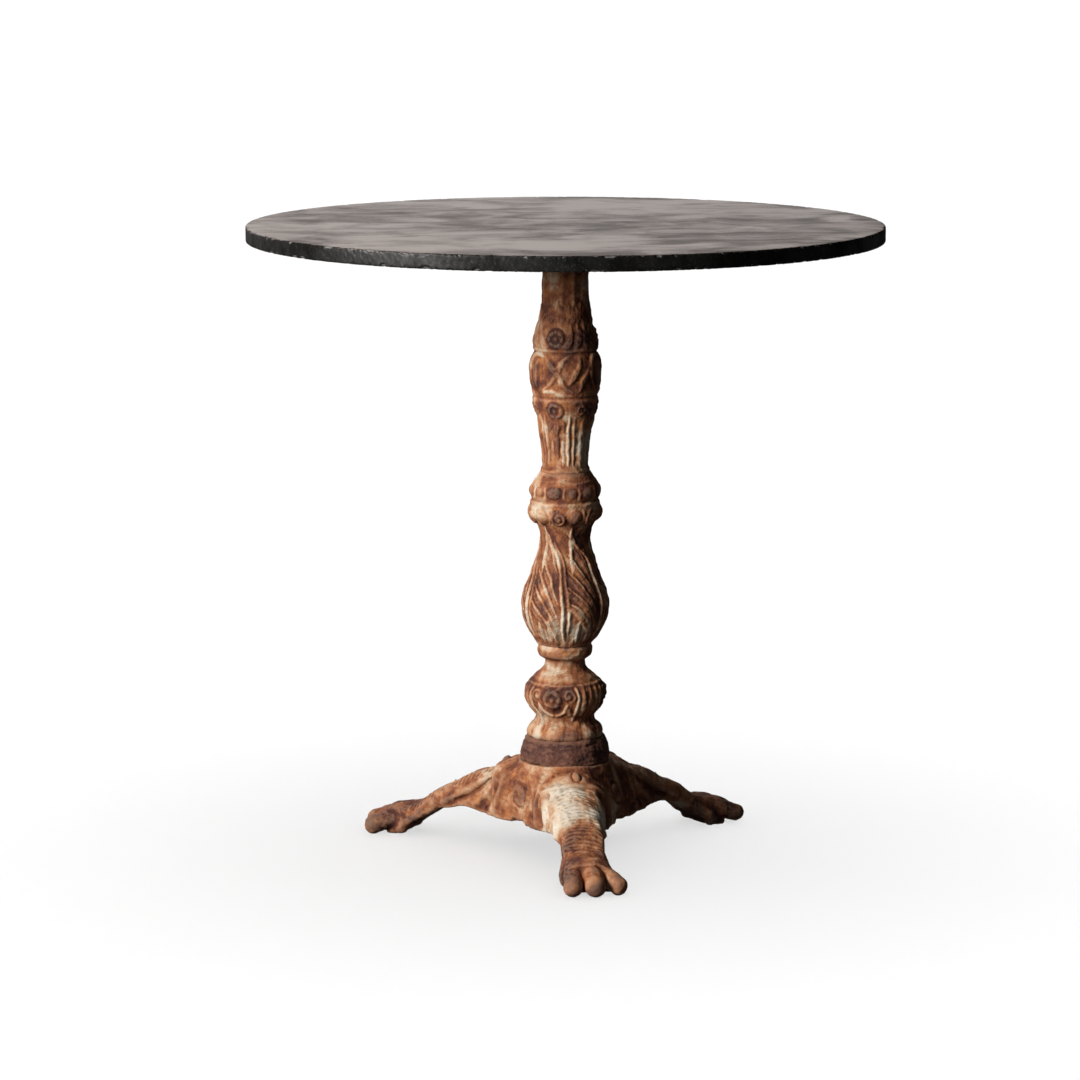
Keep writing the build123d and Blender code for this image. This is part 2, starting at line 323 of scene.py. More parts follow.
        # Sand casting and coats of paint round everything off a little.
        for _ in range(2):
            padded = np.pad(self.lift, ((1, 1), (0, 0)), "edge")
            down = (padded[:-2] + 2 * self.lift + padded[2:]) / 4
            self.lift = (np.roll(down, 1, 1) + 2 * down + np.roll(down, -1, 1)) / 4
        self.lift += self.GRAIN * ripple(self.places, 9, seed, 4)
        self.lift += 0.3 * ripple(self.places, 38, seed + 1)
        rows, columns = self.lift.shape
        wall = self.points(self.lift).reshape(-1, 3)
        angle = self.angle[0]
        rings = [
            np.stack([r * np.cos(angle), r * np.sin(angle), np.full(columns, z)], 1)
            for r, z in inner
        ]
        points = np.vstack([wall, *rings])
        count = rows + len(inner)
        here = np.arange(count * columns).reshape(count, columns)
        above = np.roll(here, -1, 0)
        faces = np.stack(
            [here, np.roll(here, -1, 1), np.roll(above, -1, 1), above], -1
        ).reshape(-1, 4)
        mesh = new_mesh(name, points, faces)
        add_ridge(mesh)
        rust = np.concatenate([self.rust.ravel(), np.ones(len(inner) * columns)])
        add_attribute(mesh, "rust", rust)
        return mesh


def column_shaft():
    profile = [
        (28.5, 457), (27.4, 463), (26.8, 472), (26.8, 484), (28.0, 494), (30.8, 509), (33.8, 523),
        (36.2, 532), (38.0, 540), (39.0, 545), (37.9, 547.6), (39.0, 551), (40.2, 560),
        (41.0, 570), (41.3, 580), (40.4, 590), (38.6, 597), (36.8, 601.4), (38.0, 604.5),
        (37.6, 609), (35.8, 618), (32.6, 632), (29.6, 643), (28.2, 654), (27.4, 662),
        (27.2, 680), (27.2, 700),
    ]
    wall = Relief(profile, 250, 300, 3, seed=11)
    wall.flutes(12, 1.5, 655, 704)
    wall.ring(603.6, 1.8, 1.3)
    wall.ring(459.8, 2.0, 1.3)
    # upper bulge: a ruff of leaf tips over a flower between leaves
    for degrees in (0, 24, 60):
        wall.leaf([(degrees, 638), (degrees, 649), (degrees, 662)], 6.4, 1.7, 2, rust=0.5)
    for degrees in (12, 38, 49):
        wall.leaf([(degrees, 636), (degrees, 645), (degrees, 656)], 4.6, 1.9, 2, rust=0.9)
    wall.rosette(0, 618, 12.5, 3.0, 7, rust=1.3)
    wall.leaf([(10, 608), (22, 611), (32, 622), (30, 636)], 5.2, 2.4, 5, rust=0.6)
    wall.leaf([(36, 606), (44, 612), (50, 624), (44, 638)], 4.6, 2.2, 5, rust=0.5)
    wall.leaf([(60, 606), (60, 618), (60, 636)], 4.8, 2.2, 4, rust=0.4)
    wall.rust += 0.55 * ease(np.abs(wall.height - 580), 28, 16)
    # lower bulge: a C-scroll, and leaves that cross beside it, all running one way round
    scroll = [(-20, 596), (-34, 600), (-50, 594), (-55, 580), (-50, 566), (-38, 558)]
    wall.rib(scroll, 3.4, 2.4, mirror=False)
    wall.leaf([(-36, 562), (-38, 574), (-36, 586), (-30, 595)], 5.4, 2.8, 3, mirror=False, rust=0.7)
    wall.leaf([(28, 598), (14, 591), (4, 579), (-6, 566), (-24, 556)], 3.8, 2.4, 6, mirror=False, rust=0.2)
    wall.leaf([(-18, 599), (-8, 590), (4, 577), (18, 563), (34, 556)], 4.4, 2.8, 7, mirror=False, rust=0.9)
    swag = [(-26, 553.5), (-6, 555.6), (12, 551.6), (30, 553)]
    wall.rib(swag, 2.2, 1.6, 0.3, 0.4, mirror=False, rust=-0.4)
    wall.leaf([(26, 566), (34, 574), (42, 584), (46, 597)], 4.6, 2.6, 5, mirror=False, rust=0.8)
    wall.leaf([(44, 558), (50, 568), (58, 578), (62, 590)], 4.0, 2.2, 5, mirror=False, rust=0.4)
    # flower with a bell-flower drop
    wall.rosette(0, 533, 11.0, 2.8, 6, rust=1.2)
    wall.rosette(50, 534, 7.5, 1.8, 5, rust=0.6)
    wall.leaf([(3, 524), (12, 517), (20, 506)], 4.2, 2.0, 3, rust=1.0)
    wall.leaf([(0, 525), (0, 514), (0, 499)], 5.0, 2.6, 3, rust=0.9)
    wall.rib([(0, 504), (0, 493), (0, 474)], 4.2, 2.4, rust=1.0)
    wall.rib([(13, 496), (14, 483), (13, 465)], 2.2, 0.9, 0.3, 0.3, rust=-0.5)
    # fluted stem
    wall.rib([(28, 528), (27, 505), (27, 464)], 2.4, 1.7, 0.2, 0.15, rust=-0.5)
    wall.rib([(39, 524), (40, 503), (40, 464)], 1.8, 1.2, 0.2, 0.15, rust=-0.2)
    wall.rib([(60, 524), (60, 500), (60, 464)], 4.6, 1.7, 0.2, 0.15, rust=0.1)
    inner = [
        (25.0, 700), (21.0, 700), (21.0, 694), (BORE, 694), (BORE, 451.5), (REGISTER, 451.5),
        (REGISTER, 457),
    ]
    return wall.finish("column_shaft_relief", inner, seed=21)


def column_baluster():
    profile = [
        (31.5, 249), (33.8, 252.5), (40.8, 264), (46, 274), (49.3, 284), (50.6, 294), (50.4, 303),
        (48, 313), (44.5, 322.5), (40.5, 332), (37.3, 342), (34.3, 351), (30.4, 361), (28.4, 371),
        (28.4, 378), (30.2, 385), (33.4, 393), (37.4, 399), (40.8, 403.5), (42.4, 409),
        (42.2, 414.5), (41.2, 419), (40.8, 421.5), (39.4, 424), (40.2, 427), (40.6, 432),
        (40.6, 437), (39.6, 442), (37.6, 445.4), (35.6, 447.6), (33.2, 451.5), (31, 455), (30, 457),
    ]
    wall = Relief(profile, 250, 330, 6, turn=FACE_ANGLE + 1, seed=31)
    wall.rust += 1.1 * ease(np.abs(wall.height - 306), 44, 16) + 0.1 * ease(wall.height, 396, 404)
    wall.ring(447.4, 1.1, 1.0)
    wall.ring(421.0, 1.5, 0.7)
    # knot: large and small cabochons above, volutes and lobes below
    wall.boss(0, 434.5, 10.5, 7.2, 2.7, rust=0.75)
    wall.boss(30, 435, 6.0, 6.4, 2.0, rust=0.4)
    wall.rib([(17.5, 427), (16.5, 435), (19, 442)], 2.0, 1.5, rust=-0.3)
    wall.volute(7, 405, 8.6, 1.6, 2.4, 2.9, 100, mirror=False, rust=1.1)
    wall.boss(-24, 407, 9.6, 9.6, 2.7, mirror=False, rust=0.8)
    wall.rib([(-10, 417), (-8, 406), (-13, 395)], 2.2, 1.6, mirror=False, rust=0.4)
    # acanthus: ribs that sweep into an upright one, with barbs between them
    main = [(-24, 386), (-17, 374), (3, 357), (11, 337), (15, 310), (16, 285), (15, 258)]
    wall.stain([(-26, 398), (-10, 378), (7, 352), (10, 334)], 4.0, 1.1, mirror=False)
    for high, wide in ((384, 3.4), (358, 4.2), (338, 4.6), (320, 4.8), (303, 4.4)):
        barb = [(-40, high), (-27, high - 9), (-12, high - 24), (-1, high - 42), (6, high - 58)]
        wall.leaf(barb, wide, 2.4, 5, mirror=False, rust=0.75)
        edge = [(d + 2, z + wide) for d, z in barb]
        wall.rib(edge, 1.5, 2.3, 0.2, 0.4, mirror=False, rust=-0.4)
    wall.rib(main, 2.4, 2.9, 0.15, 0.1, mirror=False, rust=-0.5)
    wall.rib([(d + 8, z) for d, z in main[1:]], 1.9, 2.0, 0.15, 0.2, mirror=False, rust=0.2)
    wall.rib([(-27, 394), (-28, 362), (-27, 334)], 2.6, 2.2, 0.2, 0.3, mirror=False, rust=-0.6)
    for degrees in (-22, -6):
        upright = [(degrees, 284), (degrees, 270), (degrees, 254)]
        wall.rib(upright, 2.6, 2.0, 0.4, 0.2, mirror=False, rust=-0.3)
    wall.flutes(24, 1.3, 248, 278, 12)
    inner = [
        (26.0, 457), (21.0, 457), (21.0, 451), (BORE, 451), (BORE, 350), (38, 298), (BORE, 249),
        (BORE, 243.5), (REGISTER, 243.5), (REGISTER, 249),
    ]
    return wall.finish("column_baluster_relief", inner, seed=41)


def column_vase():
    profile = [
        (43.0, 138), (44.0, 140.6), (43.4, 144.6), (40.4, 150), (36.2, 155), (34.4, 159.5),
        (35.2, 164), (38.2, 169), (42.8, 176), (46.2, 184), (47.2, 191), (46.0, 198), (43.4, 203),
        (42.6, 204.6), (40.4, 206.2), (37, 210.6), (31, 215.5), (26.4, 220), (24, 225),
        (23.8, 229), (24.6, 231.8), (27, 233.2), (31.0, 235.4), (32.5, 239), (32.8, 242.5),
        (32.4, 246), (31, 248.4), (30.4, 249),
    ]
    wall = Relief(profile, 150, 330, 3, seed=51)
    wall.rust += 1.1 * ease(np.abs(wall.height - 187), 20, 13) * ease(np.abs(wall.side), 46, 30)
    wall.rust -= 0.25 * ease(np.abs(wall.height - 146), 16, 8)
    wall.ring(204.4, 1.0, 0.8)
    wall.ring(232.2, 1.0, 0.7)
    # medallion: a flower in a frame of leaves and scrolls
    wall.rosette(0, 189, 13.0, 3.4, 7, rust=1.1)
    wall.volute(25, 193, 7.6, 1.25, 2.4, 2.6, -70, rust=0.9)
    wall.rib([(24, 184), (17, 174), (6, 169), (0, 168)], 2.2, 2.2, 0.2, 0.1, rust=0.0)
    wall.leaf([(20, 179), (27, 171), (34, 163)], 3.4, 2.0, 3, rust=0.4)
    wall.leaf([(4, 200), (10, 202), (18, 203)], 2.4, 1.6, 2, rust=0.6)
    # frame of the medallion, and upright leaves between the medallions
    wall.rib([(36, 203), (39, 194), (38, 180), (34, 166), (34, 158)], 2.2, 2.2, 0.1, 0.2, rust=-0.3)
    for degrees, width in ((48, 4.0), (60, 4.6)):
        wall.leaf([(degrees, 165), (degrees, 184), (degrees, 205)], width, 2.4, 5, rust=0.2)
    # lobed foot
    for degrees in (0, 30, 60):
        wall.boss(degrees, 146, 11, 9.5, 1.9, rust=-0.2)
    for degrees in (15, 45):
        wall.leaf([(degrees, 161), (degrees, 150), (degrees, 139)], 4.0, 1.5, 2, rust=0.3)
    inner = [
        (27, 249), (21, 249), (21, 243), (16, 243), (16, 128), (36.8, 128), (36.8, 138),
    ]
    return wall.finish("column_vase_relief", inner, seed=61)


def base_collar():
    profile = [
        (50.5, 108.1), (52.6, 110), (53.2, 114), (52.2, 121), (50.2, 128.5), (47.8, 134.5),
        (46, 137.2), (45, 138),
    ]
    wall = Relief(profile, 44, 330, 12, seed=71)
    wall.lift += 0.5 * np.cos(wall.angle * 12)
    # scale and layered rust: flat flakes with slits between them near the top
    flat = wall.places * np.array([1, 1, 3.2])
    flakes = ripple(flat, 26, 72, 4)
    wall.lift += 0.45 * np.tanh(2 * flakes) + 0.3 * ripple(wall.places, 5, 73, 3)
    slit = np.abs(wall.height - 131.5 - 2.2 * ripple(wall.places, 55, 74, 2))
    open_here = ease(ripple(wall.places, 24, 75, 2), -0.1, 0.3)
    wall.lift -= 1.9 * np.exp(-((slit / 0.8) ** 2)) * open_here
    wall.rust[:] = 1.0
    return wall.finish("base_collar_rough", [(37, 138), (37, 108.1)], seed=81)


# ---------------------------------------------------------------- tripod base
BELL = table([(40, 71), (52, 71), (72, 67.5), (90, 62), (104, 56), (112, 53)])
LEG_HALF = table([
    (20, 50), (40, 53), (55, 50.5), (68, 46), (80, 41), (92, 36.5), (102, 33.8), (115, 31.2),
    (130, 28.8), (150, 26.2), (175, 24.8), (195, 25), (215, 27), (240, 28),
])
LEG_TOP = table([
    (20, 104), (50, 106.5), (66, 103.5), (76, 97.5), (84, 93), (96, 89), (112, 84), (127, 77.5),
    (136, 71.5), (152, 63), (166, 56.5), (178, 47), (188, 40), (198, 37), (210, 36), (222, 34),
    (240, 28),
])
LEG_LOW = table([
    (20, 40), (82, 39.5), (101, 42.5), (124, 45), (147, 39.5), (167, 29.5), (183, 18), (203, 5),
    (215, -3), (240, -6),
])
# Exponent of the cross-section: a round hood near the dome, a flat strap at the shank.
LEG_BULGE = table([(20, 2.2), (80, 2.2), (110, 2.6), (140, 3.0), (240, 3.0)])
# Each toe, and the pad beside them, is a chain of (out, sideways, height, radius).
TOES = [
    [(204, -12, 20, 12.0), (228, -17.5, 17.0, 11.4), (246, -21, 11.4, 11.2)],
    [(204, 3, 22, 13.0), (230, 4, 18.0, 12.8), (247, 5, 12.2, 12.0)],
    [(202, 14, 19, 11.0), (224, 23, 16.5, 11.2), (240, 32, 11.0, 10.8)],
]
PAD = [(184, 20, 27, 5), (202, 24, 16, 7.5), (206, 23, 9, 8)]
CABOCHON_LEVEL = 72.0
BASE_TOP = 108.0
DOME_WALL = 7.5
BOSS_BOTTOM = 88.0
FAR = 99.0
# Folds on both sides of a leg, seen from its side: out and height.
FOLDS = [
    [(82, 88), (100, 77), (125, 60), (148, 47)],
    [(76, 84), (88, 64), (104, 49)],
    [(66, 88), (70, 66), (74, 46)],
]
CREASES = [
    [(84, 80), (97, 69), (114, 57), (130, 51)],
    [(70, 78), (77, 60), (86, 46)],
]


def to_leg(points):
    """Out, sideways and height in the frame of the nearest leg."""
    x, y, z = points.T
    turned = np.arctan2(y, x) - math.radians(FRONT_LEG_ANGLE)
    third = 2 * math.pi / LEG_COUNT
    turned = (turned + third / 2) % third - third / 2
    out = np.hypot(x, y)
    return out * np.cos(turned), out * np.sin(turned), z


def across_gap(u, v):
    """Sideways distance from the middle of the gap between two legs, or far from it."""
    side = np.abs(v)
    return np.where(side > u * 1.2, side * 0.5 - u * math.sqrt(0.75), FAR)


def rods(u, v, z, chain):
    """Distance to a chain of tapering rods with round ends."""
    best = np.full(u.shape, 1e9)
    place = np.stack([u, v, z], 1)
    for start, stop in zip(chain, chain[1:]):
        a, b = np.array(start[:3], float), np.array(stop[:3], float)
        t = np.clip((place - a) @ (b - a) / ((b - a) @ (b - a)), 0, 1)
        gap = np.linalg.norm(place - a - t[:, None] * (b - a), axis=1)
        best = np.minimum(best, gap - start[3] - (stop[3] - start[3]) * t)
    return best


def stroke(u, z, line, width):
    """1 on a line in the side view, 0 away from it, with a round crest."""
    line = smooth_line(line, 9)
    best = np.full(u.shape, 1e9)
    for a, b in zip(line, line[1:]):
        run, rise = b - a
        t = np.clip(((u - a[0]) * run + (z - a[1]) * rise) / (run**2 + rise**2), 0, 1)
        best = np.minimum(best, (u - a[0] - t * run) ** 2 + (z - a[1] - t * rise) ** 2)
    return np.exp(-best / width**2)


def join(a, b, soft):
    """The union of two distance fields, with a fillet about `soft` wide."""
    share = np.clip(0.5 + 0.5 * (b - a) / soft, 0, 1)
    return b + (a - b) * share - soft * share * (1 - share)


def base_field(points):
    """Distance-like field of the tripod base: negative inside, in millimetres."""
    u, v, z = to_leg(points)
    side = np.abs(v)
    out = np.hypot(u, v)
    scallop = 3.2 * np.abs(np.sin(15 * np.arctan2(v, u)))
    bell = np.maximum(out - BELL(z), np.maximum(z - BASE_TOP, 41 + scallop - z))
    half, top, low, bulge = LEG_HALF(u), LEG_TOP(u), LEG_LOW(u), LEG_BULGE(u)
    # On the shank the strap is rounded underneath too; nearer the dome it opens downwards.
    middle = low + (top - low) * 0.42 * ease(u, 128, 156)
    tall = top - middle
    rise = np.where(z > middle, (z - middle) / tall, (z - middle) / (0.72 * tall + 2))
    leg = (side / half) ** bulge + np.abs(rise) ** bulge
    leg = (leg ** (1 / bulge) - 1) * np.minimum(half, tall)
    leg = np.maximum(0.9 * leg, np.maximum(u - 226, 15 - u))
    leg = -join(-leg, z - low + 1.2, 2.4)
    body = join(bell, leg, 9.0)

    # the sleeve's edge over the trunk, with a knee boss on it
    upper = ease(z, low + 0.25 * (top - low), low + 0.5 * (top - low))
    edge = 87 - 0.006 * side**2
    sleeve = ease(u, edge + 1.2, edge - 1.2)
    body -= 2.4 * sleeve * ease(u, 50, 76) * upper
    knee = np.hypot((u - 75) / 6.2, (v - 4.5) / 5.0)
    body -= 2.6 * np.clip(1 - knee**2, 0, 1) ** 0.6 * upper
    body += 1.1 * np.exp(-(((knee - 1.18) / 0.14) ** 2)) * upper

    # wrinkles across the trunk and shank
    bend = 0.16 * ripple(points, 60, 91, 2)
    slope = np.where(u < 128, u, 128 + 1.3 * (u - 128))
    wave = np.abs(np.sin(math.pi * ((slope - 0.005 * v**2) / 6.4 + bend)))
    depth = 1.7 + 1.4 * ripple(points, 15, 92, 2)
    here = ease(u, edge + 1, edge + 6) * ease(u, 204, 186) * upper * ease(side, 24, 19)
    body += depth * here * (1 - wave) ** 2.2

    # folds and creases down both sides
    flank = ease(side, 13, 18) * ease(out, 60, 66)
    for line in FOLDS:
        body -= 2.6 * flank * stroke(u, z, line, 4.6)
    for line in CREASES:
        body += 2.1 * flank * stroke(u, z, line, 2.6)

    # oval cabochons half way between the legs
    across = across_gap(u, v)
    tilt = (z - CABOCHON_LEVEL) + 0.25 * across * np.sign(v)
    oval = np.hypot(across / 15.0, tilt / 11.5)
    body -= 3.4 * np.clip(1 - oval**2, 0, 1) ** 0.6 * (out > 50)
    body += 1.3 * np.exp(-(((oval - 1.14) / 0.15) ** 2))

    # paw
    for chain in TOES:
        body = join(body, rods(u, v, z, chain), 2.0)
    body = join(body, rods(u, side, z, PAD), 4.0)
    body += 0.16 * ripple(points, 7, 93, 3) + 0.5 * ripple(points, 30, 94, 2)

    # hollow underneath, boss for the rod, seat for the collar, soles on the floor
    bell_inside = np.maximum(out - BELL(z) + DOME_WALL, z - BOSS_BOTTOM)
    channel = (side / (half - 9)) ** bulge + (np.maximum(z - low, 0) / (top - low - 9)) ** bulge
    channel = (channel ** (1 / bulge) - 1) * 18
    channel = np.maximum(channel, np.maximum(u - 134, 30 - u))
    body = np.maximum(body, -join(bell_inside, channel, 6.0))
    boss = np.maximum(out - 36.8, np.maximum(z - 118, BOSS_BOTTOM - z))
    body = np.minimum(body, boss)
    seat = np.hypot(out - 53.6, z - 106) - 2.0
    body = np.minimum(body, seat)
    body = np.maximum(body, 6.5 - out)
    return np.maximum(body, -z)


def skin(field, low, high, step, block=5):
    """The surface where a field is zero, as points and quads, by surface nets."""
    low = np.array(low, float)
    blocks = np.ceil((np.array(high) - low) / (step * block)).astype(int)
    grid = np.stack(np.meshgrid(*[np.arange(n) for n in blocks], indexing="ij"), -1)
    coarse = field((low + (grid.reshape(-1, 3) + 0.5) * step * block)).reshape(blocks)
    close = np.abs(coarse) < 1.5 * step * block + 1.0

    def spread(values):
        for axis in range(3):
            values = np.repeat(values, block, axis)
        return values

    values = spread(coarse)
    places = np.argwhere(spread(close))
    values[tuple(places.T)] = field(low + places * step)
    inside = values < 0

    corners = [(i, j, k) for i in (0, 1) for j in (0, 1) for k in (0, 1)]
    cells = [n - 1 for n in values.shape]
    within = [inside[i:i + cells[0], j:j + cells[1], k:k + cells[2]] for i, j, k in corners]
    mixed = np.logical_or.reduce(within) & ~np.logical_and.reduce(within)
    number = np.full(mixed.shape, -1)
    number[mixed] = np.arange(mixed.sum())
    cell = np.argwhere(mixed)
    total, hits = np.zeros(cell.shape), np.zeros(len(cell))
    for a in corners:
        for axis in range(3):
            if a[axis]:
                continue
            b = [n + (i == axis) for i, n in enumerate(a)]
            one, two = values[tuple((cell + a).T)], values[tuple((cell + b).T)]
            cut = (one < 0) != (two < 0)
            share = np.where(cut, one / np.where(cut, one - two, 1), 0)
            place = np.array(a, float) + share[:, None] * (np.array(b) - a)
            total += place * cut[:, None]
            hits += cut
    points = low + (cell + total / hits[:, None]) * step

    faces = []
    for axis in range(3):
        one, two = (axis + 1) % 3, (axis + 2) % 3
        front = np.moveaxis(inside, axis, 0)
        change = np.moveaxis(front[1:] != front[:-1], 0, axis)
        at = np.argwhere(change)
        for other in (one, two):
            at = at[(at[:, other] > 0) & (at[:, other] < cells[other])]
        shift = np.eye(3, dtype=int)
        ring = [at, at - shift[one], at - shift[one] - shift[two], at - shift[two]]
        quad = np.stack([number[tuple(r.T)] for r in ring], 1)
        flip = inside[tuple(at.T)]
        quad[~flip] = quad[~flip][:, ::-1]
        faces.append(quad)
    return points, np.vstack(faces)


def settle(field, points, step, turns=3):
    """Moves points onto the surface where a field is zero."""
    probe = 0.3
    for _ in range(turns):
        here = field(points)
        slope = np.stack(
            [(field(points + probe * way) - here) / probe for way in np.eye(3)], 1
        )
        size = np.maximum((slope**2).sum(1), 0.2)
        points = points - np.clip(here / size, -step / 2, step / 2)[:, None] * slope
    return points


def tripod_base():
    step = 1.35
    points, faces = skin(base_field, (-256, -272, -2.7), (256, 158, 124), step)
    points = settle(base_field, points, step)
    points[:, 2] = np.maximum(points[:, 2], 0.0)
    mesh = new_mesh("tripod_base_relief", points, faces)
    add_ridge(mesh)
    u, v, z = to_leg(points)
    trunk = ease(u, 82, 94) * ease(u, 162, 138)
    front = ease(points[:, 1], -50, -75)
    trunk *= front
    rust = 0.15 + 0.10 * ease(u, 80, 110) * (1 - front) + 0.35 * ease(z, 66, 48) * (1 - trunk)
    rust += 0.6 * ease(u, 186, 206) - 1.1 * trunk
    rust -= 0.45 * ease(u, 105, 125) * ease(u, 188, 168) * (1 - front)
    rust += 0.9 * ease(np.hypot(across_gap(u, v), z - CABOCHON_LEVEL), 16, 10)
    add_attribute(mesh, "rust", rust)
    return mesh


# ---------------------------------------------------------------- stone top
def table_top():
    """A round slab with eased edges and small chips along them."""
    columns = 1500
    bottom, middle = STONE_TOP - STONE_THICKNESS, STONE_TOP - STONE_THICKNESS / 2
    arc = np.radians(np.linspace(0, 90, 6))
    upper = [
        (STONE_RADIUS - ROUND_OFF * (1 - math.sin(t)), STONE_TOP - ROUND_OFF * (1 - math.cos(t)))
        for t in arc
    ]
    lower = [(r, STONE_TOP + bottom - z) for r, z in upper[::-1]]
    side = [(STONE_RADIUS, z) for z in np.linspace(STONE_TOP - ROUND_OFF, bottom + ROUND_OFF, 10)[1:-1]]
    flat = [0.0, 60, 130, 200, 260, 310, 345, 362, 369, 371.5]
    profile = [(r, STONE_TOP) for r in flat] + upper + side + lower + [(r, bottom) for r in flat[::-1]]
    radius = np.array([r for r, _ in profile])[:, None]
    level = np.array([z for _, z in profile])[:, None]
    angle = np.arange(columns)[None, :] * 2 * math.pi / columns
    points = np.stack(
        [radius * np.cos(angle), radius * np.sin(angle), level + 0 * angle], -1
    )
    # Chips bite only where the rounded edge is, and are deepest at it.
    edge = np.exp(-(((radius - STONE_RADIUS) / 3.0) ** 2)) * ease(np.abs(level - middle), 5.0, 8.4)
    chip = ease(ripple(points, 15, 101, 3), 0.62, 1.0)
    chip += 0.5 * ease(ripple(points, 5, 102, 2), 0.75, 1.0)
    inward = 1.5 * edge * chip + 0.12 * (radius > 370) * ripple(points, 4, 103, 2)
    points[..., 0] -= inward * np.cos(angle)
    points[..., 1] -= inward * np.sin(angle)
    points[..., 2] -= np.sign(level - middle) * 0.7 * inward * (radius > 370)
    rows = len(profile)
    body = points[1:-1].reshape(-1, 3)
    grid = np.arange((rows - 2) * columns).reshape(rows - 2, columns)
    quads = np.stack(
        [grid[:-1], grid[1:], np.roll(grid[1:], -1, 1), np.roll(grid[:-1], -1, 1)], -1
    ).reshape(-1, 4).tolist()
    count = len(body)
    body = np.vstack([body, [[0, 0, STONE_TOP], [0, 0, bottom]]])
    first, last = grid[0], grid[-1]
    fans = [[count, a, b] for a, b in zip(first.tolist(), np.roll(first, -1).tolist())]
    fans += [[count + 1, b, a] for a, b in zip(last.tolist(), np.roll(last, -1).tolist())]
    mesh = bpy.data.meshes.new("table_top_slab")
    mesh.from_pydata((body * MM).tolist(), [], quads + fans)
    mesh.shade_smooth()
    chips = np.concatenate([(edge * chip)[1:-1].ravel(), [0, 0]])
    add_attribute(mesh, "chip", np.clip(chips, 0, 1))
    return with_pockets(mesh)


def with_pockets(slab):
    """The slab with the three blind holes underneath that take the threaded inserts."""
    sides, clear = 48, 3.0
    bottom = STONE_TOP - STONE_THICKNESS
    turn = np.arange(sides) * 2 * math.pi / sides
    points, faces = [], []
    for way in np.radians(ARM_ANGLES):
        x = POCKET_REACH * math.cos(way) + POCKET_RADIUS * np.cos(turn)
        y = POCKET_REACH * math.sin(way) + POCKET_RADIUS * np.sin(turn)
        first = len(points)
        for level in (bottom - clear, bottom + POCKET_DEPTH):
            points += [(a, b, level) for a, b in zip(x, y)]
        low = list(range(first, first + sides))
        high = [i + sides for i in low]
        faces += [low[::-1], high]
        faces += [[low[i], low[(i + 1) % sides], high[(i + 1) % sides], high[i]] for i in range(sides)]
    drill_mesh = bpy.data.meshes.new("drill")
    drill_mesh.from_pydata((np.array(points) * MM).tolist(), [], faces)
    drill = bpy.data.objects.new("drill", drill_mesh)
    blank = bpy.data.objects.new("blank", slab)
    for thing in (drill, blank):
        bpy.context.scene.collection.objects.link(thing)
    cut = blank.modifiers.new("pockets", "BOOLEAN")
    cut.operation, cut.solver, cut.object = "DIFFERENCE", "EXACT", drill
    graph = bpy.context.evaluated_depsgraph_get()
    mesh = bpy.data.meshes.new_from_object(blank.evaluated_get(graph))
    for thing in (drill, blank):
        bpy.data.objects.remove(thing)
    return mesh


